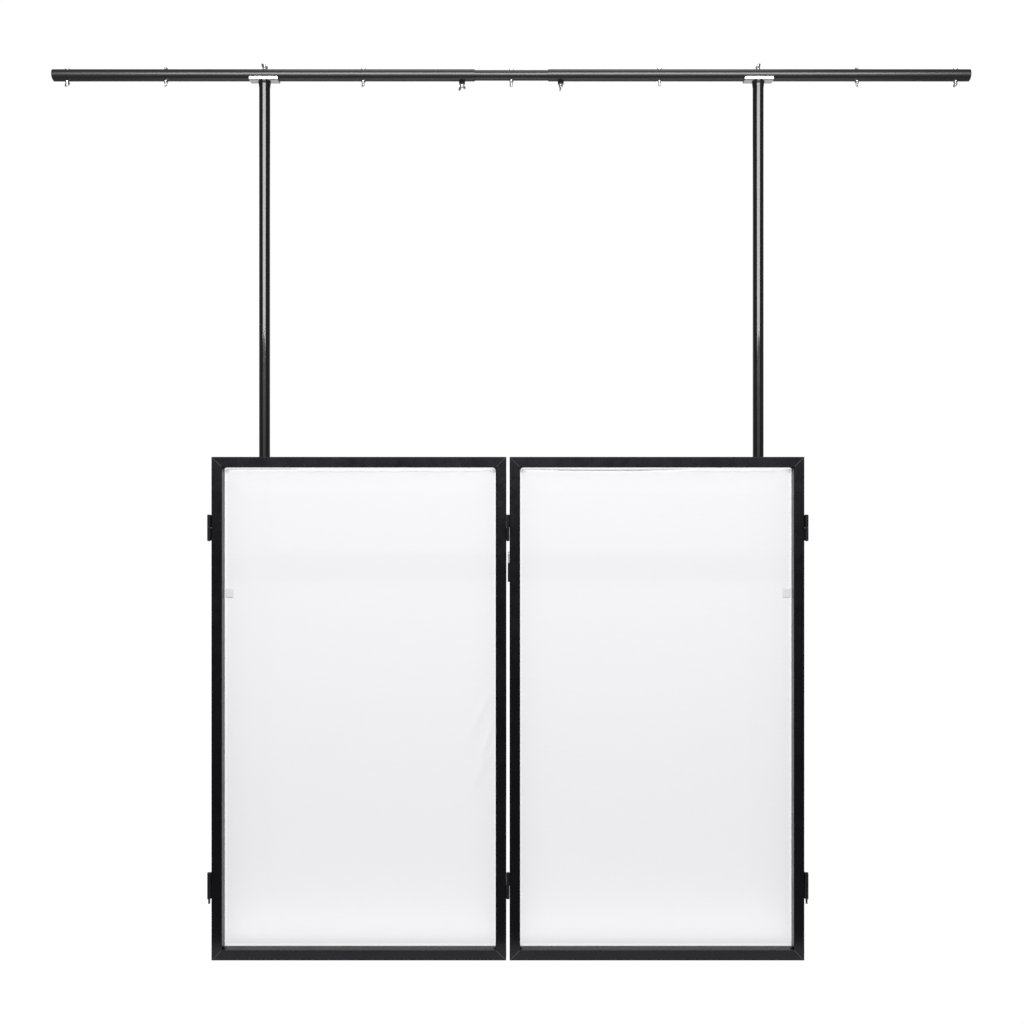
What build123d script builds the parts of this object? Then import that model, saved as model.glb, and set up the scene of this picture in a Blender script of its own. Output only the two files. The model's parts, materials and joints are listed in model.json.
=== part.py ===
from build123d import *
import os

# Folding four-panel screen booth with an overhead lighting bar.
# Millimetres, +Z up.  +X is to the right seen from the front, +Y goes to the back.
# The code measures y from the front faces of the panels; save() sets every node back
# by ORIGIN_Y, so that the origin is on the floor in the middle of the footprint.
ORIGIN_Y = 235.0

# ---- framed panels ----
TUBE = 25.0              # square tube, outside
WALL = 1.5
TUBE_R = 1.5             # outside corner radius of the tube
PANEL_W = 700.0
PANEL_H = 1196.0
HALF_GAP = 4.0           # centre hinge axis to each front panel
FRONT_OUT = HALF_GAP + PANEL_W
WING_W = 375.0           # depth of a side wing
WING_Y0 = 30.0           # front edge of a side wing
WING_OUT = 704.5         # outer face of a side wing
CLOTH = 1.0
CLOTH_INSET = 2.0
GUSSET = 9.0

# ---- hinges ----
HINGE_Z = (178.0, 1027.5)
HINGE_H = 61.0
KNUCKLE_GAP = 0.4
PIN_D = 5.0
PIN_BORE = 5.1
CORNER_AXIS_X = 709.0
CORNER_BARREL_D = 9.0
CENTRE_BARREL_D = 7.4
LEAF_T = 2.0
LEAF_REACH = 76.0

# ---- shelf rails behind the front panels ----
RAIL_Z = (897.0, 940.0)
LEDGE_H = 28.5
RAIL_Y0 = 28.5
RAIL_D = 20.0
LEDGE_D = 40.0
RAIL_OUT = 676.0
RAIL_IN_RIGHT = -1.0
RAIL_IN_LEFT = 15.0

# ---- posts and poles ----
POST_X = 690.0
POST_Y = 428.0
POST_D = 34.0
POLE_D = 30.0
POLE_FIT = 0.08          # radial clearance of the pole in the post
POST_TOP = 1066.0
POLE_BOTTOM = 826.0
COLLAR_Z = (1030.0, 1074.0)
KNOB_Z = 1055.0
CLIP_Z = (300.0, 850.0)
CLIP_H = 40.0

# ---- lighting bar ----
BAR_Z = 2286.0
BAR_D = 32.0
BAR_BORE = 28.2
INNER_D = 28.0
BAR_END = 1279.0
BAR_MOUTH = 103.0
INNER_END = 290.0
PITCH = 276.0            # spacing of the stations along the bar
BOLT_D = 6.0
BOLT_CLEAR = 6.4
BOLT_L = 46.0
HEX_AF = 10.0
HEX_H = 4.0
SADDLE_L = 80.0
SADDLE_T = 2.0
SADDLE_W = 30.0
SADDLE_BEND = 4.0        # outside radius of the two bends of the channel
SADDLE_LIP = 8.5         # top edges of the channel, below the bar axis
SADDLE_BOLT_L = 50.0
BOSS_D = 19.0
BOSS_Z = 2262.0

LEFT = -1
RIGHT = 1

os.makedirs("parts", exist_ok=True)


def save(part, label):
    """Place one node about the origin, name it and write its STEP file."""
    node = part.moved(Location((0, -ORIGIN_Y, 0)))
    node.label = label
    export_step(node, f"parts/{label}.step")


def frame_member(middle, along, inward, length):
    """One square tube, cut at 45 degrees at both ends."""
    section = Plane(origin=middle, x_dir=inward, z_dir=along)
    with BuildPart() as member:
        with BuildSketch(section):
            RectangleRounded(TUBE, TUBE, TUBE_R)
            bore = TUBE - 2 * WALL
            RectangleRounded(bore, bore, TUBE_R / 2, mode=Mode.SUBTRACT)
        extrude(amount=length / 2, both=True)
        for end in (1, -1):
            corner = section.origin + section.z_dir * (end * length / 2) - section.x_dir * (TUBE / 2)
            mitre = Plane(origin=corner, z_dir=section.z_dir * end + section.x_dir)
            split(bisect_by=mitre, keep=Keep.BOTTOM)
    return member.part


# =====================================================================
# front panels
# =====================================================================
def front_panel(side, name):
    """Four mitred tubes, the stretched cloth and the corner gussets of a front panel."""
    y = TUBE / 2
    mid_x = side * (HALF_GAP + PANEL_W / 2)
    mid_z = PANEL_H / 2
    out_x = side * (FRONT_OUT - TUBE / 2)
    in_x = side * (HALF_GAP + TUBE / 2)
    save(frame_member((out_x, y, mid_z), (0, 0, 1), (-side, 0, 0), PANEL_H), f"{name}_stile_outer")
    save(frame_member((in_x, y, mid_z), (0, 0, 1), (side, 0, 0), PANEL_H), f"{name}_stile_inner")
    top_z = PANEL_H - TUBE / 2
    save(frame_member((mid_x, y, top_z), (1, 0, 0), (0, 0, -1), PANEL_W), f"{name}_rail_top")
    save(frame_member((mid_x, y, TUBE / 2), (1, 0, 0), (0, 0, 1), PANEL_W), f"{name}_rail_bottom")

    with BuildPart() as scrim:
        with BuildSketch(Plane.XZ.offset(-TUBE)):
            with Locations((mid_x, mid_z)):
                Rectangle(PANEL_W - 2 * CLOTH_INSET, PANEL_H - 2 * CLOTH_INSET)
        extrude(amount=-CLOTH)
    save(scrim.part, f"{name}_scrim")

    reach_x = PANEL_W / 2 - TUBE
    reach_z = PANEL_H / 2 - TUBE
    with BuildPart() as gussets:
        for sx in (1, -1):
            for sz in (1, -1):
                corner = (mid_x + sx * reach_x, 10.0, mid_z + sz * reach_z)
                with BuildSketch(Plane(origin=corner, x_dir=(-sx, 0, 0), z_dir=(0, -sx * sz, 0))):
                    with Locations((GUSSET / 2, GUSSET / 2)):
                        Rectangle(GUSSET, GUSSET)
                    with Locations((GUSSET, GUSSET)):
                        Circle(GUSSET, mode=Mode.SUBTRACT)
                extrude(amount=-5.0 * sx * sz)
    save(gussets.part, f"{name}_gussets")


front_panel(LEFT, "left_front")
front_panel(RIGHT, "right_front")


# =====================================================================
# side wings
# =====================================================================
def side_wing(side, name):
    """Welded frame and cloth of a wing that runs to the back."""
    x = side * (WING_OUT - TUBE / 2)
    mid_y = WING_Y0 + WING_W / 2
    mid_z = PANEL_H / 2
    back_y = WING_Y0 + WING_W - TUBE / 2
    with BuildPart() as frame:
        add(frame_member((x, WING_Y0 + TUBE / 2, mid_z), (0, 0, 1), (0, 1, 0), PANEL_H))
        add(frame_member((x, back_y, mid_z), (0, 0, 1), (0, -1, 0), PANEL_H))
        add(frame_member((x, mid_y, PANEL_H - TUBE / 2), (0, 1, 0), (0, 0, -1), WING_W))
        add(frame_member((x, mid_y, TUBE / 2), (0, 1, 0), (0, 0, 1), WING_W))
    save(frame.part, f"{name}_frame")

    inner = WING_OUT - TUBE
    with BuildPart() as scrim:
        with BuildSketch(Plane.YZ.offset(side * inner)):
            with Locations((mid_y, mid_z)):
                Rectangle(WING_W - 2 * CLOTH_INSET, PANEL_H - 2 * CLOTH_INSET)
        extrude(amount=-side * CLOTH)
    save(scrim.part, f"{name}_scrim")


side_wing(LEFT, "left_wing")
side_wing(RIGHT, "right_wing")


# =====================================================================
# shelf rails: tube, ledge on top of it and the two brackets that carry it
# =====================================================================
def shelf_rail(side, name, inner):
    """Rail and ledge behind one front panel, from its inner end out to the wing."""
    mid_x = side * (RAIL_OUT + inner) / 2
    length = RAIL_OUT - inner
    height = RAIL_Z[1] - RAIL_Z[0]
    rail_plane = Plane(origin=(mid_x, RAIL_Y0 + RAIL_D / 2, sum(RAIL_Z) / 2), x_dir=(0, 1, 0), z_dir=(1, 0, 0))
    with BuildPart() as rail:
        with BuildSketch(rail_plane):
            RectangleRounded(RAIL_D, height, TUBE_R)
            RectangleRounded(RAIL_D - 2 * WALL, height - 2 * WALL, TUBE_R / 2, mode=Mode.SUBTRACT)
        extrude(amount=length / 2, both=True)
    save(rail.part, f"{name}_shelf_rail")

    ledge_mid = (mid_x, RAIL_Y0 + LEDGE_D / 2, RAIL_Z[1] + LEDGE_H / 2)
    ledge_plane = Plane(origin=ledge_mid, x_dir=(0, 1, 0), z_dir=(1, 0, 0))
    with BuildPart() as ledge:
        with BuildSketch(ledge_plane):
            RectangleRounded(LEDGE_D, LEDGE_H, 3.0)
            RectangleRounded(LEDGE_D - 2 * WALL, LEDGE_H - 2 * WALL, 1.5, mode=Mode.SUBTRACT)
        extrude(amount=length / 2, both=True)
    save(ledge.part, f"{name}_shelf_ledge")

    front_y = TUBE + CLOTH
    back_y = RAIL_Y0 + RAIL_D
    with BuildPart() as brackets:
        for x_low in (8.0, 657.0):
            with BuildSketch(Plane.YZ.offset(side * x_low)):
                with BuildLine():
                    Polyline(
                        (front_y, 856.0),
                        (front_y, 881.0),
                        (back_y - 2.5, 881.0),
                        (back_y - 2.5, RAIL_Z[0]),
                        (back_y, RAIL_Z[0]),
                        (back_y, 878.5),
                        (RAIL_Y0, 878.5),
                        (RAIL_Y0, 856.0),
                        close=True,
                    )
                make_face()
            extrude(amount=side * 19.0)
        with BuildSketch(Plane.XZ.offset(-front_y)):
            with Locations((side * 689.0, 868.5)):
                Rectangle(26.0, 25.0)
        extrude(amount=-(RAIL_Y0 - front_y))
    save(brackets.part, f"{name}_shelf_brackets")


shelf_rail(LEFT, "left", RAIL_IN_LEFT)
shelf_rail(RIGHT, "right", RAIL_IN_RIGHT)


# =====================================================================
# hinges: each has a lower knuckle with the pin and an upper knuckle that turns on it
# =====================================================================
HALF_H = (HINGE_H - KNUCKLE_GAP) / 2


def lower_start(z):
    """Bottom of the lower knuckle of the hinge centred at z."""
    return z - HINGE_H / 2


def upper_start(z):
    """Bottom of the upper knuckle of the hinge centred at z."""
    return z + KNUCKLE_GAP / 2


def knuckles(axis_x, toward, barrel_d, starts, bore_d):
    """Barrels with a short web that reaches the tube beside them."""
    wall_x = axis_x + toward * (abs(barrel_d / 2) + 0.3 if axis_x == 0 else CORNER_AXIS_X - FRONT_OUT)
    with BuildPart() as group:
        for start in starts:
            with BuildSketch(Plane.XY.offset(start)):
                with Locations((axis_x, 0)):
                    Circle(barrel_d / 2)
                with Locations(((axis_x + wall_x) / 2, barrel_d / 4)):
                    Rectangle(abs(wall_x - axis_x), barrel_d / 2)
                with Locations((axis_x, 0)):
                    Circle(bore_d / 2, mode=Mode.SUBTRACT)
            extrude(amount=HALF_H)
    return group.part


def hinge_pins(axis_x, tails):
    """Drop-in pins with a shallow head and a grooved, bevelled tail."""
    with BuildPart() as pins:
        for z, tail in zip(HINGE_Z, tails):
            bottom = z - HINGE_H / 2 - tail
            top = z + HINGE_H / 2
            with BuildSketch(Plane(origin=(axis_x, 0, 0), x_dir=(1, 0, 0), z_dir=(0, -1, 0))):
                with BuildLine():
                    Polyline(
                        (0, bottom),
                        (PIN_D / 2 - 0.6, bottom),
                        (PIN_D / 2, bottom + 0.6),
                        (PIN_D / 2, bottom + 3.0) if tail > 4 else (PIN_D / 2, bottom + 0.8),
                        (PIN_D / 2 - 0.7, bottom + 3.2) if tail > 4 else (PIN_D / 2, bottom + 0.9),
                        (PIN_D / 2 - 0.7, bottom + 4.6) if tail > 4 else (PIN_D / 2, bottom + 1.0),
                        (PIN_D / 2, bottom + 4.8) if tail > 4 else (PIN_D / 2, bottom + 1.1),
                        (PIN_D / 2, top),
                        (PIN_D / 2 + 0.9, top),
                        (PIN_D / 2 + 0.6, top + 1.2),
                        (0, top + 1.2),
                        close=True,
                    )
                make_face()
            revolve(axis=Axis((axis_x, 0, 0), (0, 0, 1)))
    return pins.part


lowers = [lower_start(z) for z in HINGE_Z]
uppers = [upper_start(z) for z in HINGE_Z]

save(knuckles(0, LEFT, CENTRE_BARREL_D, lowers, PIN_D), "centre_lower_knuckles")
save(knuckles(0, RIGHT, CENTRE_BARREL_D, uppers, PIN_BORE), "centre_upper_knuckles")
save(hinge_pins(0, (1.5, 1.5)), "centre_pins")


def corner_hinge(side, name):
    """Hinge pair between a front panel and its wing, with long strap leaves on the wing."""
    axis_x = side * CORNER_AXIS_X
    save(knuckles(axis_x, -side, CORNER_BARREL_D, lowers, PIN_D), f"{name}_corner_knuckles")
    save(hinge_pins(axis_x, (12.0, 1.5)), f"{name}_corner_pins")

    leaf_x = side * (WING_OUT + LEAF_T / 2)
    with BuildPart() as leaves:
        for start in uppers:
            with BuildSketch(Plane.XY.offset(start)):
                with Locations((axis_x, 0)):
                    Circle(CORNER_BARREL_D / 2)
                with Locations((leaf_x, LEAF_REACH / 2)):
                    Rectangle(LEAF_T, LEAF_REACH)
                with Locations((axis_x, 0)):
                    Circle(PIN_BORE / 2, mode=Mode.SUBTRACT)
            extrude(amount=HALF_H)
    save(leaves.part, f"{name}_wing_leaves")


corner_hinge(LEFT, "left")
corner_hinge(RIGHT, "right")


# =====================================================================
# posts: tube on a rubber foot, clamping collar on top, clips on the wing
# =====================================================================
def post(side, name, clip_gap):
    """Lower post with its foot, collar and the two clips fixed to the wing beside it."""
    x = side * POST_X
    knob_plane = Plane(origin=(x, POST_Y, KNOB_Z), x_dir=(1, 0, 0), z_dir=(0, 1, 0))
    with BuildPart() as tube:
        with BuildSketch(Plane.XY.offset(6.0)):
            with Locations((x, POST_Y)):
                Circle(POST_D / 2)
                Circle(POLE_D / 2 + POLE_FIT, mode=Mode.SUBTRACT)
        extrude(amount=POST_TOP - 6.0)
        with BuildSketch(knob_plane):
            Circle(BOLT_CLEAR / 2)
        extrude(amount=POST_D, mode=Mode.SUBTRACT)
    save(tube.part, f"{name}_post")

    with BuildPart() as foot:
        with BuildSketch(Plane.XY):
            with Locations((x, POST_Y)):
                Circle(20.0)
        extrude(amount=30.0)
        with BuildSketch(Plane.XY.offset(6.0)):
            with Locations((x, POST_Y)):
                Circle(POST_D / 2)
        extrude(amount=30.0, mode=Mode.SUBTRACT)
        chamfer(foot.edges().filter_by(GeomType.CIRCLE).sort_by(Axis.Z)[0], 2.0)
        fillet(foot.edges().filter_by(GeomType.CIRCLE).group_by(Axis.Z)[-1].sort_by(SortBy.RADIUS)[-1], 1.5)
    save(foot.part, f"{name}_post_foot")

    with BuildPart() as collar:
        with BuildSketch(Plane.XY.offset(COLLAR_Z[0])):
            with Locations((x, POST_Y)):
                Circle(22.0)
        extrude(amount=COLLAR_Z[1] - COLLAR_Z[0])
        chamfer(collar.edges().filter_by(GeomType.CIRCLE), 1.5)
        with BuildSketch(knob_plane.offset(14.0)):
            Circle(9.0)
        extrude(amount=14.0)
        with BuildSketch(Plane.XY.offset(COLLAR_Z[0])):
            with Locations((x, POST_Y)):
                Circle(POST_D / 2)
        extrude(amount=POST_TOP - COLLAR_Z[0], mode=Mode.SUBTRACT)
        with BuildSketch(Plane.XY.offset(POST_TOP)):
            with Locations((x, POST_Y)):
                Circle(POLE_D / 2 + 0.3)
        extrude(amount=COLLAR_Z[1] - POST_TOP, mode=Mode.SUBTRACT)
        with BuildSketch(knob_plane):
            Circle(BOLT_CLEAR / 2)
        extrude(amount=30.0, mode=Mode.SUBTRACT)
        with BuildSketch(Plane.XY.offset(COLLAR_Z[0])):
            with Locations((x - side * 20.0, POST_Y)):
                Rectangle(16.0, 2.5)
        extrude(amount=COLLAR_Z[1] - COLLAR_Z[0], mode=Mode.SUBTRACT)
    save(collar.part, f"{name}_post_collar")

    back_y = WING_Y0 + WING_W
    with BuildPart() as clips:
        for z in CLIP_Z:
            with BuildSketch(Plane.XY.offset(z - CLIP_H / 2)):
                with Locations((side * 692.0, back_y + 1.75)):
                    Rectangle(24.0, 3.5)
                with Locations((side * 701.5, back_y + 13.0)):
                    Rectangle(19.0, 26.0)
                with Locations((x, POST_Y)):
                    Circle(POST_D / 2 + clip_gap, mode=Mode.SUBTRACT)
            extrude(amount=CLIP_H)
        fillet(clips.edges().filter_by(Axis.Z).group_by(Axis.Y)[-1], 1.2)
    save(clips.part, f"{name}_post_clips")


post(LEFT, "left", 0.0)
post(RIGHT, "right", 0.3)


# =====================================================================
# knobs that clamp the poles
# =====================================================================
def post_knob(side, name):
    """Five-lobed knob with its stud, pointing to the back."""
    base = Plane(origin=(side * POST_X, POST_Y, KNOB_Z), x_dir=(1, 0, 0), z_dir=(0, 1, 0))
    with BuildPart() as knob:
        with BuildSketch(base.offset(POLE_D / 2 + 0.3)):
            Circle(BOLT_D / 2)
        extrude(amount=16.0)
        with BuildSketch(base.offset(28.6)):
            Circle(9.0)
        extrude(amount=5.0)
        with BuildSketch(base.offset(32.0)):
            Circle(15.5)
            with PolarLocations(14.0, 5):
                Circle(5.5)
            with PolarLocations(21.5, 5, start_angle=36):
                Circle(7.0, mode=Mode.SUBTRACT)
        extrude(amount=14.0)
        fillet(knob.faces().sort_by(Axis.Y)[-1].edges(), 1.8)
    save(knob.part, f"{name}_post_knob")


post_knob(LEFT, "left")
post_knob(RIGHT, "right")


# =====================================================================
# upper poles with their flared collars
# =====================================================================
PLATE_Z = BAR_Z - BAR_D / 2 - SADDLE_T     # underside of the saddles, on the pole tops
ALONG_BAR = Plane(origin=(0, POST_Y, BAR_Z), x_dir=(0, 1, 0), z_dir=(1, 0, 0))


def pole(side, name):
    """Upper pole that slides in the post."""
    with BuildPart() as tube:
        with BuildSketch(Plane.XY.offset(POLE_BOTTOM)):
            with Locations((side * POST_X, POST_Y)):
                Circle(POLE_D / 2)
                Circle(POLE_D / 2 - WALL, mode=Mode.SUBTRACT)
        extrude(amount=PLATE_Z - POLE_BOTTOM)
    save(tube.part, f"{name}_pole")


pole(LEFT, "left")
pole(RIGHT, "right")

with BuildPart() as pole_collars:
    for side in (LEFT, RIGHT):
        with BuildSketch(Plane(origin=(side * POST_X, POST_Y, 0), x_dir=(1, 0, 0), z_dir=(0, -1, 0))):
            with BuildLine():
                Polyline(
                    (POLE_D / 2, PLATE_Z - 15.0),
                    (POLE_D / 2 + 0.6, PLATE_Z - 15.0),
                    (POLE_D / 2 + 1.0, PLATE_Z - 9.0),
                    (POLE_D / 2 + 2.4, PLATE_Z - 2.0),
                    (POLE_D / 2 + 2.4, PLATE_Z),
                    (POLE_D / 2, PLATE_Z),
                    close=True,
                )
            make_face()
        revolve(axis=Axis((side * POST_X, POST_Y, 0), (0, 0, 1)))
save(pole_collars.part, "pole_collars")


# =====================================================================
# lighting bar
# =====================================================================
END_STATIONS = (1.5 * PITCH, 3.5 * PITCH, 4.5 * PITCH)
LOCK_X = 0.5 * PITCH


def bar_tube(side, name):
    """Outer tube, cross-drilled for the hanging bolts, the pole bolt and the lock screw."""
    with BuildPart() as tube:
        with BuildSketch(ALONG_BAR.offset(side * BAR_MOUTH)):
            Circle(BAR_D / 2)
            Circle(BAR_BORE / 2, mode=Mode.SUBTRACT)
        extrude(amount=side * (BAR_END - BAR_MOUTH))
        with BuildSketch(Plane.XY.offset(BAR_Z - BAR_D)):
            with Locations([(side * x, POST_Y) for x in (*END_STATIONS, 2.5 * PITCH)]):
                Circle(BOLT_CLEAR / 2)
        extrude(amount=2 * BAR_D, mode=Mode.SUBTRACT)
        with BuildSketch(Plane.XY.offset(BAR_Z - BAR_D)):
            with Locations((side * LOCK_X, POST_Y)):
                Circle(BOLT_CLEAR / 2)
        extrude(amount=BAR_D, mode=Mode.SUBTRACT)
    save(tube.part, f"{name}_bar_tube")


bar_tube(LEFT, "left")
bar_tube(RIGHT, "right")

with BuildPart() as inner_bar_tube:
    with BuildSketch(ALONG_BAR):
        Circle(INNER_D / 2)
        Circle(INNER_D / 2 - WALL, mode=Mode.SUBTRACT)
    extrude(amount=INNER_END, both=True)
    with BuildSketch(Plane.XY.offset(BAR_Z - BAR_D)):
        with Locations((0, POST_Y)):
            Circle(BOLT_CLEAR / 2)
    extrude(amount=2 * BAR_D, mode=Mode.SUBTRACT)
save(inner_bar_tube.part, "inner_bar_tube")

with BuildPart() as bar_end_plugs:
    for side in (LEFT, RIGHT):
        with BuildSketch(Plane(origin=(side * BAR_END, POST_Y, BAR_Z), x_dir=(side, 0, 0), z_dir=(0, -1, 0))):
            with BuildLine():
                Polyline(
                    (4.2, 0),
                    (-14.0, 0),
                    (-14.0, 12.6),
                    (-12.0, BAR_BORE / 2),
                    (0, BAR_BORE / 2),
                    (0, 16.0),
                    (1.0, 16.0),
                )
                CenterArc((-37.4, 0), 41.6, 0, 22.619865)
            make_face()
        revolve(axis=Axis((0, POST_Y, BAR_Z), (1, 0, 0)))
save(bar_end_plugs.part, "bar_end_plugs")

with BuildPart() as lock_bosses:
    with BuildSketch(Plane.XY.offset(BOSS_Z)):
        with Locations((-LOCK_X, POST_Y), (LOCK_X, POST_Y)):
            RegularPolygon(BOSS_D / 2, 6, rotation=30)
    extrude(amount=BAR_D / 2)
    with BuildSketch(ALONG_BAR):
        Circle(BAR_D / 2)
    extrude(amount=BAR_END, both=True, mode=Mode.SUBTRACT)
    with BuildSketch(Plane.XY.offset(BOSS_Z)):
        with Locations((-LOCK_X, POST_Y), (LOCK_X, POST_Y)):
            Circle(BOLT_D / 2 + 0.1)
    extrude(amount=BAR_D, mode=Mode.SUBTRACT)
save(lock_bosses.part, "lock_bosses")

# channels that carry the bar on the pole tops, on the upper edges of their two sides
SADDLE_H = BAR_D / 2 + SADDLE_T - SADDLE_LIP
with BuildPart() as saddles:
    for side in (LEFT, RIGHT):
        with BuildSketch(ALONG_BAR.offset(side * POST_X)) as channel:
            with Locations((0, -BAR_D / 2 - SADDLE_T)):
                Rectangle(SADDLE_W, SADDLE_H, align=(Align.CENTER, Align.MIN))
            fillet(channel.vertices().group_by(Axis.Y)[0], SADDLE_BEND)
            with Locations((0, -BAR_D / 2)):
                hollow = SADDLE_W - 2 * SADDLE_T
                Rectangle(hollow, SADDLE_H, align=(Align.CENTER, Align.MIN), mode=Mode.SUBTRACT)
        extrude(amount=SADDLE_L / 2, both=True)
    inner_corners = saddles.edges().filter_by(Axis.X).filter_by_position(
        Axis.Z, BAR_Z - BAR_D / 2 - 0.1, BAR_Z - BAR_D / 2 + 0.1
    )
    fillet(inner_corners, SADDLE_BEND - SADDLE_T)
    fillet(saddles.edges().filter_by(Axis.Y).group_by(Axis.Z)[-1], 3.5)
    with BuildSketch(ALONG_BAR):
        Circle(BAR_D / 2)
    extrude(amount=BAR_END, both=True, mode=Mode.SUBTRACT)
    with BuildSketch(Plane.XY.offset(PLATE_Z - 1)):
        with Locations((-POST_X, POST_Y), (POST_X, POST_Y)):
            Circle(BOLT_CLEAR / 2)
    extrude(amount=BAR_D, mode=Mode.SUBTRACT)
save(saddles.part, "saddles")


# =====================================================================
# fasteners of the bar
# =====================================================================
def hex_bolt(length):
    """Hex bolt hanging from z = 0, head on top."""
    with BuildPart() as bolt:
        with BuildSketch(Plane.XY):
            RegularPolygon(HEX_AF / 2, 6, major_radius=False)
        extrude(amount=HEX_H)
        with BuildSketch(Plane.XY):
            Circle(BOLT_D / 2)
        extrude(amount=-length)
        chamfer(bolt.faces().sort_by(Axis.Z)[0].edges(), 1.0)
    return bolt.part


def wing_head():
    """Hub and two wings standing on z = 0, without a bore."""
    with BuildPart() as nut:
        with BuildSketch(Plane.XZ):
            with BuildLine():
                Polyline((0, 0), (5.8, 0), (5.8, 1.2), (4.6, 6.8), (0, 6.8), close=True)
            make_face()
        revolve(axis=Axis.Z)
        with BuildSketch(Plane.XZ):
            with BuildLine():
                Polyline(
                    (2.6, 1.2),
                    (5.2, 0.8),
                    (11.2, 7.6),
                    (11.6, 12.0),
                    (9.0, 13.8),
                    (6.4, 12.0),
                    (2.6, 5.0),
                    close=True,
                )
            make_face()
            mirror(about=Plane.YZ)
        extrude(amount=1.5, both=True)
        fillet(nut.edges().filter_by(Axis.Y), 1.0)
    return nut.part


def wing_nut():
    """The same head, bored for the bolt."""
    with BuildPart() as nut:
        add(wing_head())
        with BuildSketch(Plane.XY):
            Circle(BOLT_D / 2)
        extrude(amount=20.0, mode=Mode.SUBTRACT)
    return nut.part


BAR_TOP = BAR_Z + BAR_D / 2
BAR_UNDER = BAR_Z - BAR_D / 2
stations = [side * x for side in (LEFT, RIGHT) for x in END_STATIONS]
hanging_bolt = hex_bolt(BOLT_L)
plain_nut = wing_nut()

with BuildPart() as hanging_bolts:
    for x in stations:
        add(hanging_bolt.moved(Location((x, POST_Y, BAR_TOP), (0, 0, x % 60))))
save(hanging_bolts.part, "hanging_bolts")

nut_turns = (65.0, 60.0, 38.0, 5.0, -62.0, 88.0)
with BuildPart() as hanging_wing_nuts:
    for x, turn in zip(stations, nut_turns):
        add(plain_nut.moved(Location((x, POST_Y, BAR_UNDER), (180, 0, turn))))
save(hanging_wing_nuts.part, "hanging_wing_nuts")

centre_bolt = hanging_bolt.moved(Location((0, POST_Y, BAR_Z + INNER_D / 2)))
save(centre_bolt, "centre_bolt")
centre_wing_nut = plain_nut.moved(Location((0, POST_Y, BAR_Z - INNER_D / 2), (180, 0, 72)))
save(centre_wing_nut, "centre_wing_nut")

saddle_bolt = hex_bolt(SADDLE_BOLT_L)
with BuildPart() as saddle_bolts:
    for side in (LEFT, RIGHT):
        add(saddle_bolt.moved(Location((side * POST_X, POST_Y, PLATE_Z), (180, 0, 0))))
save(saddle_bolts.part, "saddle_bolts")

with BuildPart() as saddle_wing_nuts:
    for side, turn in ((LEFT, 62.0), (RIGHT, -75.0)):
        add(plain_nut.moved(Location((side * POST_X, POST_Y, BAR_TOP), (0, 0, turn))))
save(saddle_wing_nuts.part, "saddle_wing_nuts")


def lock_screw(side, name, turn):
    """Winged screw that presses up on the inner tube."""
    x = side * LOCK_X
    tip_z = BAR_Z - INNER_D / 2 - 0.2
    head_z = BOSS_Z - 3.0
    with BuildPart() as screw:
        with BuildSketch(Plane.XY.offset(head_z)):
            with Locations((x, POST_Y)):
                Circle(BOLT_D / 2)
        extrude(amount=tip_z - head_z)
        add(wing_head().moved(Location((x, POST_Y, head_z), (180, 0, turn))))
    save(screw.part, f"{name}_lock_screw")


lock_screw(LEFT, "left", 35.0)
lock_screw(RIGHT, "right", 80.0)
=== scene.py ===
import json
import math

import bpy
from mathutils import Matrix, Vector, noise


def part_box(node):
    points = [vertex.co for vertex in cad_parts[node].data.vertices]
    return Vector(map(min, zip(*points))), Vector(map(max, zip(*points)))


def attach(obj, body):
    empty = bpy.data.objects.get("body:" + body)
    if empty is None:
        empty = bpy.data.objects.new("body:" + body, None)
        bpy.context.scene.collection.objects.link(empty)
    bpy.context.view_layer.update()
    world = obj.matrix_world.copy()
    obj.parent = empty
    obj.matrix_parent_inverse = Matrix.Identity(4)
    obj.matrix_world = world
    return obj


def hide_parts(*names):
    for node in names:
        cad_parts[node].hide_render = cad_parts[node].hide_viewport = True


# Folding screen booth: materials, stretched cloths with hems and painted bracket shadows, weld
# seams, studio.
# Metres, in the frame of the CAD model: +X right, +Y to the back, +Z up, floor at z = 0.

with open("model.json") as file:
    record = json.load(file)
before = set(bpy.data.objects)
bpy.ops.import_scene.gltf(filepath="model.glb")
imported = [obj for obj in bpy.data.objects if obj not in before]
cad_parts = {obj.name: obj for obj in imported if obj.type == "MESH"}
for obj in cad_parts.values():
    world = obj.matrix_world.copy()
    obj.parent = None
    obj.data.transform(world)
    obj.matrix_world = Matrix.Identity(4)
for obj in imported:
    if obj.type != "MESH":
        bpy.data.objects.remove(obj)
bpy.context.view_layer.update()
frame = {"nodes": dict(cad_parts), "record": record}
MM = 0.001

TUBE = 25 * MM                                   # side of the frames' square tube
FRONT_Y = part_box("left_front_rail_top")[0].y     # plane of the panels' front faces


# =====================================================================
# materials
# =====================================================================
MIX_A, MIX_B, MIX_RESULT = 6, 7, 2     # the colour sockets of a Mix node


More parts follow.
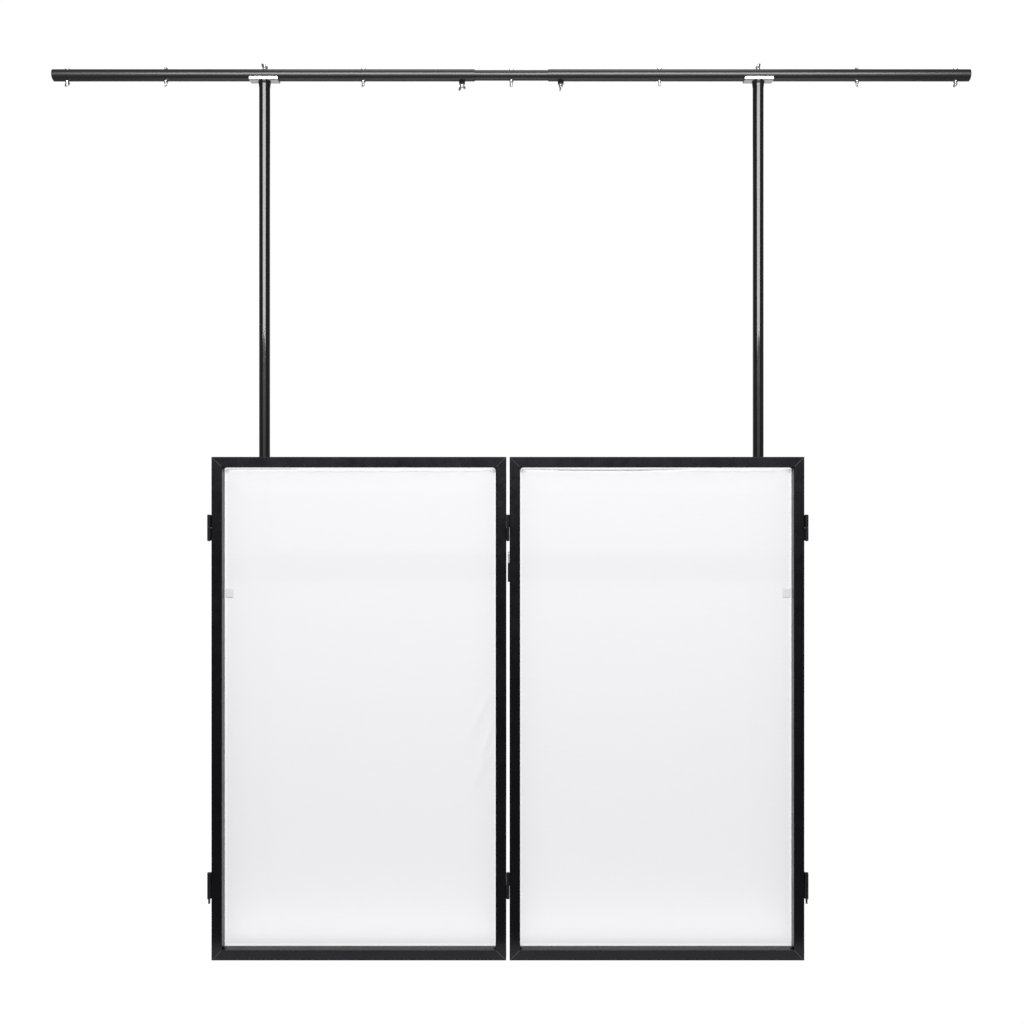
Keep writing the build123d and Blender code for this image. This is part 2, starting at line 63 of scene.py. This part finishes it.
class Finish:
    """One material under construction: a Principled shader and the nodes that feed it."""

    def __init__(self, name):
        self.material = bpy.data.materials.new(name)
        self.material.use_nodes = True
        self.tree = self.material.node_tree
        self.shader = self.tree.nodes["Principled BSDF"]
        self.output = self.tree.nodes["Material Output"]
        self.place = self.tree.nodes.new("ShaderNodeTexCoord").outputs["Object"]

    def node(self, kind, **values):
        made = self.tree.nodes.new(kind)
        for key, value in values.items():
            setattr(made, key, value)
        return made

    def link(self, source, target):
        self.tree.links.new(source, target)

    def set(self, **values):
        """Constant values on the shader's own sockets."""
        for key, value in values.items():
            self.shader.inputs[key.replace("_", " ")].default_value = value

    def stretched(self, scale):
        """Object coordinates scaled by axis, for grain that runs one way."""
        mapping = self.node("ShaderNodeMapping")
        mapping.inputs["Scale"].default_value = scale
        self.link(self.place, mapping.inputs["Vector"])
        return mapping.outputs["Vector"]

    def noise(self, scale, detail=3.0, rough=0.55, at=None):
        made = self.node("ShaderNodeTexNoise")
        made.inputs["Scale"].default_value = scale
        made.inputs["Detail"].default_value = detail
        made.inputs["Roughness"].default_value = rough
        self.link(at or self.place, made.inputs["Vector"])
        return made.outputs["Fac"]

    def ranged(self, value, source, target):
        """A value mapped from one (low, high) range to another."""
        made = self.node("ShaderNodeMapRange")
        for key, number in zip(("From Min", "From Max", "To Min", "To Max"), (*source, *target)):
            made.inputs[key].default_value = number
        self.link(value, made.inputs["Value"])
        return made.outputs["Result"]

    def colours(self, value, *stops):
        """Colour ramp through (position, grey or rgb) stops."""
        made = self.node("ShaderNodeValToRGB")
        elements = made.color_ramp.elements
        while len(elements) < len(stops):
            elements.new(0.5)
        for element, (position, colour) in zip(elements, stops):
            element.position = position
            rgb = colour if isinstance(colour, tuple) else (colour,) * 3
            element.color = (*rgb, 1)
        self.link(value, made.inputs["Fac"])
        return made.outputs["Color"]

    def mixed(self, fac, a, b):
        """Colour a where fac is 0, b where it is 1; each is a socket or an rgb."""
        made = self.node("ShaderNodeMix", data_type="RGBA")
        self.link(fac, made.inputs["Factor"])
        for socket, value in ((made.inputs[MIX_A], a), (made.inputs[MIX_B], b)):
            if isinstance(value, tuple):
                socket.default_value = (*value, 1)
            else:
                self.link(value, socket)
        return made.outputs[MIX_RESULT]

    def combined(self, operation, a, b):
        made = self.node("ShaderNodeMath", operation=operation)
        self.link(a, made.inputs[0])
        self.link(b, made.inputs[1])
        return made.outputs["Value"]

    def bump(self, height, distance, strength=1.0):
        made = self.node("ShaderNodeBump")
        made.inputs["Distance"].default_value = distance
        made.inputs["Strength"].default_value = strength
        self.link(height, made.inputs["Height"])
        self.link(made.outputs["Normal"], self.shader.inputs["Normal"])
        return made.outputs["Normal"]

    def base(self, colour):
        self.link(colour, self.shader.inputs["Base Color"])

    def roughness(self, value):
        self.link(value, self.shader.inputs["Roughness"])


def shaded(tone, factor):
    """An rgb tone made darker or lighter."""
    return tuple(factor * c for c in tone)


def powder_coat(name, tone, rough, peel):
    """Satin black powder coat with orange peel, dusty patches and a few fine rubs."""
    f = Finish(name)
    dust = f.noise(scale=9, detail=5)
    paint = f.colours(dust, (0.35, shaded(tone, 0.75)), (0.7, shaded(tone, 1.3)))
    rubs = f.noise(scale=1.0, detail=6, rough=0.7, at=f.stretched((60, 60, 900)))
    f.base(f.mixed(f.ranged(rubs, (0.66, 0.72), (0, 1)), paint, shaded(tone, 2.2)))
    patches = f.noise(scale=26, detail=6, rough=0.6)
    f.roughness(f.ranged(patches, (0.3, 0.7), (rough - 0.05, rough + 0.07)))
    f.bump(f.combined("ADD", f.noise(scale=620, detail=2), f.noise(scale=2100, detail=1)), peel)
    f.set(Specular_IOR_Level=0.30, Specular_Tint=(0.95, 0.90, 1.0, 1))
    return f.material


def gloss_paint(name, tone, coat_ior, coat_rough):
    """Gloss black paint, a little uneven, with finger marks."""
    f = Finish(name)
    f.set(Coat_Weight=1.0, Coat_Roughness=coat_rough, Coat_IOR=coat_ior, Specular_IOR_Level=0.2)
    marks = f.noise(scale=14, detail=6, rough=0.65)
    f.base(f.colours(marks, (0.3, shaded(tone, 0.8)), (0.75, shaded(tone, 1.5))))
    f.roughness(f.ranged(marks, (0.35, 0.75), (0.14, 0.26)))
    f.bump(f.noise(scale=30, rough=0.5), 0.02 * MM)
    return f.material


def bare_metal(name, tone, rough, along=(1, 1, 1), tint=(1.0, 0.97, 0.9)):
    """Plated or drawn metal with clouded sheen and fine lines; rough is a (low, high) pair.

    The lines run along the axis with the large number in along.
    """
    f = Finish(name)
    f.set(Metallic=1.0)
    cloud = f.noise(scale=70, detail=5, rough=0.6)
    lines = f.noise(scale=1.0, detail=4, rough=0.6, at=f.stretched(tuple(1500 / a for a in along)))
    tinted = tuple(t * c for t, c in zip(tint, tone))
    f.base(f.colours(cloud, (0.3, shaded(tinted, 0.82)), (0.55, tone), (0.8, shaded(tone, 0.92))))
    f.roughness(f.ranged(f.combined("MULTIPLY", cloud, lines), (0.12, 0.42), rough))
    f.bump(lines, 0.03 * MM)
    return f.material


def moulded(name, tone, rough, grain_scale, depth):
    """Moulded plastic or rubber with a fine spark-eroded grain."""
    f = Finish(name)
    cloud = f.noise(scale=45, detail=4)
    f.base(f.colours(cloud, (0.3, shaded(tone, 0.8)), (0.75, shaded(tone, 1.35))))
    patches = f.noise(scale=160, detail=4)
    f.roughness(f.ranged(patches, (0.3, 0.7), (rough - 0.06, rough + 0.08)))
    cells = f.node("ShaderNodeTexVoronoi", feature="SMOOTH_F1")
    cells.inputs["Scale"].default_value = grain_scale
    f.link(f.place, cells.inputs["Vector"])
    f.bump(cells.outputs["Distance"], depth)
    return f.material


def cloth(name, tone, see_through, glow):
    """Close-knit stretch cloth that lets some light through."""
    f = Finish(name)
    threads = {}
    for direction in ("X", "Z", "Y"):
        wave = f.node("ShaderNodeTexWave", wave_type="BANDS", bands_direction=direction)
        wave.inputs["Scale"].default_value = 420
        wave.inputs["Distortion"].default_value = 0.6
        f.link(f.place, wave.inputs["Vector"])
        threads[direction] = wave.outputs["Fac"]
    level = f.combined("MAXIMUM", threads["X"], threads["Y"])
    weave = f.combined("MULTIPLY", level, threads["Z"])
    slub = f.noise(scale=1.0, detail=4, rough=0.6, at=f.stretched((30, 30, 420)))
    cloud = f.noise(scale=3.5)
    slubbed = f.mixed(f.ranged(slub, (0.3, 0.75), (0, 1)), shaded(tone, 0.98), tone)
    f.base(f.mixed(f.ranged(cloud, (0.3, 0.7), (0, 0.5)), slubbed, shaded(tone, 0.985)))
    f.roughness(f.ranged(weave, (0, 1), (0.78, 0.92)))
    f.set(Sheen_Weight=0.12, Sheen_Roughness=0.4, Specular_IOR_Level=0.2)
    normal = f.bump(f.combined("ADD", weave, slub), 0.04 * MM, strength=0.4)

    through = f.node("ShaderNodeBsdfTranslucent")
    through.inputs["Color"].default_value = (0.82, 0.82, 0.84, 1)
    f.link(normal, through.inputs["Normal"])
    body = f.node("ShaderNodeMixShader")
    body.inputs["Fac"].default_value = glow
    f.link(f.shader.outputs["BSDF"], body.inputs[1])
    f.link(through.outputs["BSDF"], body.inputs[2])
    holes = f.node("ShaderNodeBsdfTransparent")
    whole = f.node("ShaderNodeMixShader")
    whole.inputs["Fac"].default_value = see_through
    f.link(body.outputs["Shader"], whole.inputs[1])
    f.link(holes.outputs["BSDF"], whole.inputs[2])
    f.link(whole.outputs["Shader"], f.output.inputs["Surface"])
    return f.material


BLACK = (0.0022, 0.0020, 0.0028)
HINGE_BLACK = (0.008, 0.0078, 0.0082)
# by material slot of the CAD pieces; the scrims get scrim_cloth, and the bar tubes bar_paint
finishes = {
    "frame_paint": powder_coat("frame_paint", BLACK, rough=0.26, peel=0.03 * MM),
    "rail_paint": powder_coat("rail_paint", BLACK, rough=0.40, peel=0.04 * MM),
    "hinge_paint": powder_coat("hinge_paint", HINGE_BLACK, rough=0.36, peel=0.03 * MM),
    "post_paint": gloss_paint("post_paint", (0.004, 0.004, 0.0045), coat_ior=1.55, coat_rough=0.05),
    "zinc": bare_metal("zinc", (0.72, 0.72, 0.76), (0.24, 0.42)),
    "pin_steel": bare_metal("pin_steel", (0.10, 0.10, 0.105), (0.22, 0.4), along=(1, 1, 60)),
    "ledge_metal": bare_metal(
        "ledge_metal", (0.45, 0.45, 0.46), (0.34, 0.5), along=(60, 1, 1), tint=(1, 1, 1)
    ),
    "clip_plastic": moulded("clip_plastic", (0.016, 0.016, 0.017), 0.5, 1100, 0.03 * MM),
    "knob_plastic": moulded("knob_plastic", (0.014, 0.014, 0.015), 0.42, 1400, 0.02 * MM),
    "plug_plastic": moulded("plug_plastic", (0.012, 0.012, 0.013), 0.38, 1300, 0.02 * MM),
    "foot_rubber": moulded("foot_rubber", (0.018, 0.018, 0.018), 0.75, 800, 0.05 * MM),
}
bar_paint = gloss_paint("bar_paint", (0.006, 0.006, 0.007), coat_ior=1.68, coat_rough=0.38)
seam_paint = powder_coat("seam_paint", (0.055, 0.055, 0.058), rough=0.33, peel=0.02 * MM)
scrim_cloth = cloth("scrim_cloth", (0.90, 0.895, 0.91), see_through=0.012, glow=0.05)
hem_cloth = cloth("hem_cloth", (0.97, 0.97, 0.975), see_through=0.0, glow=0.04)
# darker cloth for the painted shadow of the shelf brackets, as seen through the scrim
bracket_shade_cloth = cloth("bracket_shade_cloth", (0.74, 0.74, 0.755), see_through=0.0, glow=0.0)

for part in frame["record"]["subparts"]:
    finish = finishes.get(part["material_slot"], scrim_cloth)
    if part["node"].endswith("bar_tube"):
        finish = bar_paint
    mesh = frame["nodes"][part["node"]].data
    mesh.materials.clear()
    mesh.materials.append(finish)


# =====================================================================
# mesh helpers
# =====================================================================
CROWD = 0.85     # 0 spaces the rows of a cloth evenly, 1 packs them at its edges


def finished(name, verts, faces, material, body):
    """A smooth-shaded piece that rides on a body."""
    mesh = bpy.data.meshes.new(name)
    mesh.from_pydata(verts, [], faces)
    mesh.validate()
    mesh.update()
    mesh.shade_smooth()
    piece = bpy.data.objects.new(name, mesh)
    bpy.context.scene.collection.objects.link(piece)
    mesh.materials.append(material)
    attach(piece, body)
    return piece


def grid_faces(count_u, count_v):
    """Faces of a grid of points that are listed row by row."""
    return [
        (a, a + 1, a + count_u + 1, a + count_u)
        for j in range(count_v - 1)
        for a in range(j * count_u, (j + 1) * count_u - 1)
    ]


def crowded(half, count):
    """Places from -half to half, closer together near both ends."""
    turn = 2 * math.pi
    steps = [i / (count - 1) for i in range(count)]
    return [-half + 2 * half * (t - CROWD * math.sin(turn * t) / turn) for t in steps]


def smooth(t):
    """Soft step from 0 to 1 as t goes from 0 to 1."""
    t = min(max(t, 0.0), 1.0)
    return t * t * (3 - 2 * t)


def wander(*place):
    """Smooth noise around 0; the factor on a coordinate is about its waves to the metre."""
    return noise.noise(Vector(place))


# =====================================================================
# cloths
# =====================================================================
TUBE_LAP = 23.0 * MM         # width of the cloth that lies on the back of the frame's tubes
ON_TUBE = 0.3 * MM           # how far the cloth may stand forward there

BILLOW = 2.2 * MM            # how far the middle stands forward
BILLOW_WANDER = 0.9 * MM
BILLOW_REACH = 60 * MM       # from a hem to the full billow
GATHER = 0.9 * MM            # small upright waves at the top hem
GATHER_REACH = 26 * MM
GATHER_END = 8 * MM          # how far below the hem they run out
GATHER_SIDE = 20 * MM        # how near a side hem they calm down
TUG = 0.25 * MM              # small waves at the side hems
TUG_REACH = 30 * MM
FOLD_WIDTH = 6 * MM
FOLD_LENGTH = 50 * MM
CREASE_DROP = 27.6 * MM      # from the cloth's upper edge to the ends of the crease
CREASE_WIDTH = 1.5 * MM

SIDE_HEM = 27.5 * MM
SIDE_HEM_WANDER = 0.3 * MM
TOP_HEM = 33.0 * MM
TOP_HEM_WANDER = 1.5 * MM
HEM_STEP = 3 * MM            # spacing of the mesh along the hem
HEM_LIFT = 0.8 * MM
# across the hem, from the cloth's edge: share of its width, share of its lift
HEM_PROFILE = [
    (0.0, 1.0),
    (0.4, 1.0),
    *((0.75 + 0.02 * i, 1.0) for i in range(11)),
    (0.98, 0.7),
    (1.0, 0.05),
]

# patch of painted shadow, where a shelf bracket stands behind the cloth at its outer stile
BRACKET_SHADE_U = (304.0 * MM, 324.5 * MM)     # from and to, out from the cloth's middle
BRACKET_SHADE_V = (261.0 * MM, 285.0 * MM)     # from and to, up from the cloth's middle
BRACKET_SHADE_LIFT = 1.7 * MM
BRACKET_SHADE_RIM_LIFT = 0.1 * MM
BRACKET_SHADE_COUNTS = (12, 14)                # mesh points across and up

# short folds at the inner stile, below the middle: across, up, lean in radians, height
LEFT_FOLDS = (
    (0.285, -0.02, 0.45, 2.2 * MM),
    (0.300, -0.09, 0.35, 2.4 * MM),
    (0.290, -0.15, 0.5, 1.8 * MM),
)
# a crease sags under the top rail: its middle, half its length, its sag and its depth
LEFT_CREASE = (-0.24, 0.09, 0.5 * MM, 4.0 * MM)
RIGHT_CREASE = (-0.12, 0.2, 2.4 * MM, 9.0 * MM)


class Cloth:
    """A cloth stretched over the back of a frame, in its own plane: u across, v up."""

    def __init__(self, name, body, across, seed, folds=(), crease=None):
        self.name = name
        self.body = body
        self.across = across
        self.seed = seed
        self.folds = folds
        self.crease = crease
        low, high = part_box(f"{name}_scrim")
        self.half_u = (high[across] - low[across]) / 2
        self.half_v = (high.z - low.z) / 2
        self.middle = (low + high) / 2
        # the open side of a front frame is its front, and of a wing its outside
        self.outward = -1.0 if across == 0 else math.copysign(1.0, self.middle.x)

    def place(self, u, v, lift=0.0):
        """Point on the cloth at u, v, lifted off it toward the open side of the frame."""
        point = self.middle.copy()
        point[self.across] += u
        point.z += v
        point[1 - self.across] += self.outward * (self.depth(u, v) + lift)
        return point

    def depth(self, u, v):
        """How far the cloth stands toward the open side of its frame."""
        side = self.half_u - SIDE_HEM - abs(u)
        top = self.half_v - TOP_HEM - v
        foot = v + self.half_v - SIDE_HEM
        rise = smooth(min(side, top, foot) / BILLOW_REACH)
        billow = BILLOW * rise + BILLOW_WANDER * rise * wander(u * 3.1, v * 2.3, self.seed)
        gathers = wander(u * 62, v * 4, self.seed + 3)
        gathers += 0.6 * wander(u * 130, v * 6, self.seed + 5)
        gathers *= GATHER * math.exp(-max(top, 0) / GATHER_REACH)
        gathers *= smooth(1 - top / GATHER_END) * smooth(side / GATHER_SIDE)
        tugs = TUG * wander(v * 38, self.seed, 1.7) * math.exp(-max(side, 0) / TUG_REACH)
        pulled = billow + gathers + tugs + self.folded(u, v) - self.creased(u, v)
        edge = min(self.half_u - abs(u), self.half_v - abs(v))
        return min(pulled, ON_TUBE + max(edge - TUBE_LAP, 0.0))

    def folded(self, u, v):
        """Height of the short folds."""
        height = 0.0
        for fold_u, fold_v, lean, size in self.folds:
            along = (v - fold_v) * math.cos(lean) + (u - fold_u) * math.sin(lean)
            apart = (u - fold_u) * math.cos(lean) - (v - fold_v) * math.sin(lean)
            height += size * math.exp(-((apart / FOLD_WIDTH) ** 2) - (along / FOLD_LENGTH) ** 2)
        return height

    def creased(self, u, v):
        """Depth of the crease under the top rail."""
        if not self.crease:
            return 0.0
        middle_u, half_length, sag, sunk = self.crease
        s = min(abs(u - middle_u) / half_length, 1.0)
        line = self.half_v - CREASE_DROP - sag * (1 - s * s)
        return sunk * (1 - s ** 4) * math.exp(-((v - line) / CREASE_WIDTH) ** 2)

    def sheet(self, counts):
        count_u, count_v = counts
        us = crowded(self.half_u, count_u)
        vs = crowded(self.half_v, count_v)
        verts = [self.place(u, v) for v in vs for u in us]
        faces = grid_faces(count_u, count_v)
        return finished(f"{self.name}_cloth", verts, faces, scrim_cloth, self.body)

    def hem(self):
        """Turned hem: a second layer round the edge, wavy along the top."""
        outline = []
        for direction in range(4):     # foot, side, top, other side
            half, far = self.half_u, self.half_v
            if direction % 2 == 1:
                half, far = far, half
            count = int(half / HEM_STEP)
            outline += [(direction, -1 + i / count, half, far) for i in range(2 * count)]
        verts = []
        for direction, s, half, far in outline:
            width = SIDE_HEM + SIDE_HEM_WANDER * wander(s * half * 50, direction, self.seed)
            if direction == 2:
                # the top hem is wider, except close to its corners
                wave = TOP_HEM_WANDER * wander(s * half * 45, 0.5, self.seed + 9)
                width += (TOP_HEM - SIDE_HEM + wave) * (1 - abs(s) ** 14)
            for share, lift in HEM_PROFILE:
                inset = width * share
                along = s * (half - inset)
                away = far - inset
                turned = ((along, -away), (away, along), (-along, away), (-away, -along))
                u, v = turned[direction]
                verts.append(self.place(u, v, HEM_LIFT * lift))
        rows, columns = len(outline), len(HEM_PROFILE)
        faces = []
        for i in range(rows):
            for j in range(columns - 1):
                a, b = i * columns + j, (i + 1) % rows * columns + j
                faces.append((a, b, b + 1, a + 1))
        return finished(f"{self.name}_hem", verts, faces, hem_cloth, self.body)

    def bracket_shade(self, side):
        """Raised darker patch at the outer stile, over the hem, where the shelf's bracket presses:
        painted shadow of the bracket seen through the cloth.
        """
        count_u, count_v = BRACKET_SHADE_COUNTS
        verts = []
        for j in range(count_v):
            for i in range(count_u):
                u = side * (BRACKET_SHADE_U[0] + (BRACKET_SHADE_U[1] - BRACKET_SHADE_U[0]) * i / (count_u - 1))
                v = BRACKET_SHADE_V[0] + (BRACKET_SHADE_V[1] - BRACKET_SHADE_V[0]) * j / (count_v - 1)
                rim = i in (0, count_u - 1) or j in (0, count_v - 1)
                verts.append(self.place(u, v, BRACKET_SHADE_RIM_LIFT if rim else BRACKET_SHADE_LIFT))
        faces = [face[::side] for face in grid_faces(count_u, count_v)]     # side mirrors u
        return finished(f"{self.name}_tab", verts, faces, bracket_shade_cloth, self.body)


def dress(made, counts, bracket_shade_side=0):
    """Sheet, hem and painted bracket shadow of one cloth, in place of its CAD sheet."""
    sheet = made.sheet(counts)
    hem_and_bracket_shade = [made.hem()]
    # painted shadow of the shelf bracket, seen through the cloth
    if bracket_shade_side:
        hem_and_bracket_shade.append(made.bracket_shade(bracket_shade_side))
    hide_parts(f"{made.name}_scrim")


# side of the booth, its sign, noise seed, folds, crease
BOOTH_SIDES = (
    ("left", -1, 1.0, LEFT_FOLDS, LEFT_CREASE),
    ("right", 1, 7.0, (), RIGHT_CREASE),
)
for side, sign, seed, folds, crease in BOOTH_SIDES:
    front = Cloth(f"{side}_front", f"{side}_front", 0, seed, folds, crease)
    dress(front, (120, 170), sign)
    wing = Cloth(f"{side}_wing", f"{side}_wing", 1, seed + 3)
    dress(wing, (80, 150))


# =====================================================================
# weld seams on the mitres of the frames
# =====================================================================
SEAM_WIDTH = 1.5 * MM
SEAM_HEIGHT = 0.22 * MM
SEAM_OUTER_GAP = 1.5 * MM     # from the outer corner to the start of the bead
SEAM_INNER_GAP = 0.8 * MM     # from its end to the inner corner
SEAM_COUNT = 24
SEAM_TAPER = 12               # each end tapers over this part of the length
# across the bead: shares of half its width, and of its height
SEAM_PROFILE = ((-1.0, -0.4), (-0.7, 0.45), (-0.25, 0.95), (0.25, 0.95), (0.7, 0.45), (1.0, -0.4))


def seam(start, end, normal, seed):
    """A low, slightly uneven bead from start to end on a face with that normal."""
    across = (end - start).normalized().cross(normal)
    verts = []
    for i in range(SEAM_COUNT):
        t = i / (SEAM_COUNT - 1)
        taper = smooth(t * SEAM_TAPER) * smooth((1 - t) * SEAM_TAPER)
        # the bead has even ripples and some uneven swelling
        swell = taper * (1 + 0.16 * math.sin(t * 44 + seed) + 0.2 * wander(t * 9, seed, 0))
        for x, z in SEAM_PROFILE:
            offset = across * (x * SEAM_WIDTH / 2 * swell) + normal * (z * SEAM_HEIGHT * swell)
            verts.append(start.lerp(end, t) + offset)
    faces = []
    rim = len(SEAM_PROFILE)
    for i in range(SEAM_COUNT - 1):
        for j in range(rim):
            a, b = i * rim + j, i * rim + (j + 1) % rim
            faces.append((a, b, b + rim, a + rim))
    return verts, faces


def seams_of(name, body, low, high, across):
    """Beads over the four mitres of a frame, on both of its faces."""
    other = 1 - across
    verts, faces = [], []
    for face_at, sign in ((low[other], -1.0), (high[other], 1.0)):
        normal = Vector((0, 0, 0))
        normal[other] = sign
        for corner_u, toward_u in ((low[across], 1), (high[across], -1)):
            for corner_v, toward_v in ((low.z, 1), (high.z, -1)):
                ends = []
                for inset in (SEAM_OUTER_GAP, TUBE - SEAM_INNER_GAP):
                    point = Vector((0, 0, corner_v + toward_v * inset))
                    point[other] = face_at
                    point[across] = corner_u + toward_u * inset
                    ends.append(point)
                more, more_faces = seam(*ends, normal, corner_u * 40 + corner_v * 9)
                faces += [tuple(i + len(verts) for i in face) for face in more_faces]
                verts += more
    return finished(name, verts, faces, seam_paint, body)


for side in ("left", "right"):
    corners = [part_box(f"{side}_front_{member}") for member in ("rail_top", "rail_bottom")]
    low = Vector(map(min, corners[0][0], corners[1][0]))
    high = Vector(map(max, corners[0][1], corners[1][1]))
    seams_of(f"{side}_front_welds", f"{side}_front", low, high, 0)
    seams_of(f"{side}_wing_welds", f"{side}_wing", *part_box(f"{side}_wing_frame"), 1)


# =====================================================================
# studio
# =====================================================================
BANKS_Y = FRONT_Y - 5.0       # the two large front lights stand behind the camera
CAMERA_Y = FRONT_Y - 2.4
FLOOR_LOW = (-1.7, FRONT_Y - 0.09)
FLOOR_HIGH = (1.7, 1.1)
FLOOR_TONE = 0.08
ROOM_LIGHT = 0.17
WHITE = 1.02                  # just over 1, so that the background is white to the last digit


def floor(low, high, tone):
    """Plain floor that glows, so that it's as white as the background."""
    mesh = bpy.data.meshes.new("floor")
    (x0, y0), (x1, y1) = low, high
    mesh.from_pydata([(x0, y0, 0), (x1, y0, 0), (x1, y1, 0), (x0, y1, 0)], [], [(0, 1, 2, 3)])
    made = bpy.data.objects.new("floor", mesh)
    bpy.context.scene.collection.objects.link(made)
    f = Finish("floor")
    f.base(f.colours(f.noise(scale=2.0, detail=4), (0.3, 0.98 * tone), (0.7, tone)))
    f.set(Roughness=0.9, Specular_IOR_Level=0.1, Emission_Strength=1.0, Emission_Color=(1, 1, 1, 1))
    mesh.materials.append(f.material)


def softbox(name, centre, aim, size, radiance):
    """An area light of a width and height that the camera doesn't see."""
    width, height = size
    light = bpy.data.lights.new(name, "AREA")
    light.shape = "RECTANGLE"
    light.size = width
    light.size_y = height
    light.energy = radiance * math.pi * width * height
    made = bpy.data.objects.new(name, light)
    made.location = centre
    made.rotation_euler = (Vector(aim) - Vector(centre)).to_track_quat("-Z", "Y").to_euler()
    made.visible_camera = False
    bpy.context.scene.collection.objects.link(made)
    return made


floor(FLOOR_LOW, FLOOR_HIGH, FLOOR_TONE)
bank = softbox("bank", (0.0, BANKS_Y, 3.62), (0.0, FRONT_Y, 1.3), (6.2, 2.3), 8.5)
low_bank = softbox("low_bank", (0.0, BANKS_Y, 2.02), (0.0, FRONT_Y, 1.1), (5.6, 1.05), 0.6)
softbox("top", (0.0, 0.2, 3.9), (0.0, 0.2, 0.0), (2.2, 1.6), 0.85)
softbox("back", (0.0, 2.9, 1.6), (0.0, 0.0, 1.2), (4.6, 2.8), 0.5)

# the front frames cast no shadow of the two banks, so the cloths are lit evenly to their edges
no_shadow = bpy.data.collections.new("no_shadow")
for name, node in frame["nodes"].items():
    if "_front_rail_" in name or "_front_stile_" in name:
        no_shadow.objects.link(node)
for entry in no_shadow.collection_objects:
    entry.light_linking.link_state = "EXCLUDE"
for light in (bank, low_bank):
    light.light_linking.blocker_collection = no_shadow

# the camera sees a white background, and the object is lit by a much dimmer room
world = bpy.data.worlds.new("studio")
world.use_nodes = True
bpy.context.scene.world = world
nodes, links = world.node_tree.nodes, world.node_tree.links
nodes.clear()


def background(colour, strength):
    made = nodes.new("ShaderNodeBackground")
    made.inputs["Color"].default_value = (*colour, 1)
    made.inputs["Strength"].default_value = strength
    return made.outputs["Background"]


path = nodes.new("ShaderNodeLightPath")
choose = nodes.new("ShaderNodeMixShader")
end = nodes.new("ShaderNodeOutputWorld")
links.new(path.outputs["Is Camera Ray"], choose.inputs["Fac"])
links.new(background((0.98, 0.98, 1), ROOM_LIGHT), choose.inputs[1])
links.new(background((1, 1, 1), WHITE), choose.inputs[2])
links.new(choose.outputs["Shader"], end.inputs["Surface"])

view = bpy.context.scene.view_settings
view.view_transform = "Standard"
view.look = "None"

# square to the front, a little right of the middle, which the shift makes up for
camera = bpy.data.objects.new("camera", bpy.data.cameras.new("camera"))
bpy.context.scene.collection.objects.link(camera)
camera.location = (0.055, CAMERA_Y, 1.065)
camera.rotation_euler = (math.radians(90), 0, 0)
camera.data.lens = 35.55
camera.data.sensor_width = 36
camera.data.shift_x = -0.0186
camera.data.clip_end = 50
bpy.context.scene.camera = camera
